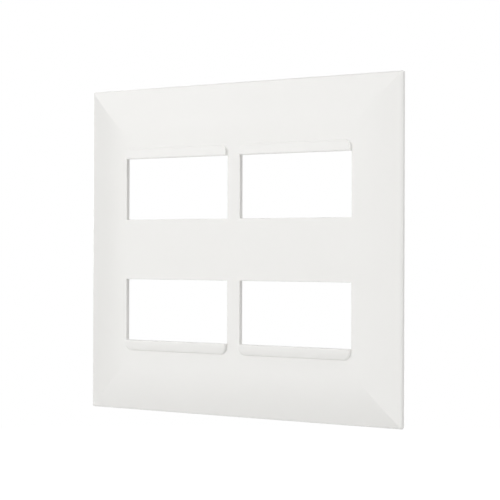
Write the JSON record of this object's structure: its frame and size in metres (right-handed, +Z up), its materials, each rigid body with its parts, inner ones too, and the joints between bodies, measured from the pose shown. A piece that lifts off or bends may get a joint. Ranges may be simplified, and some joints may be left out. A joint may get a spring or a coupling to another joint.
{
  "type": "electrical wall plate",
  "caption": "Flat moulded wall plate with rolled, mitred borders, rectangular module windows with raised lips, and snap hooks behind.",
  "frame": {"origin": "centre of the plate on the wall plane, which is the back face of its rim", "axes": "+X to the right and +Z up as seen from the room, +Y into the wall, so the front faces -Y"},
  "size_m": [0.1316, 0.009, 0.1194],
  "materials": {
    "white_moulding": "smooth moulded plastic with a soft gloss"
  },
  "bodies": {
    "root": {"cover_plate": "white_moulding"}
  },
  "joints": []
}
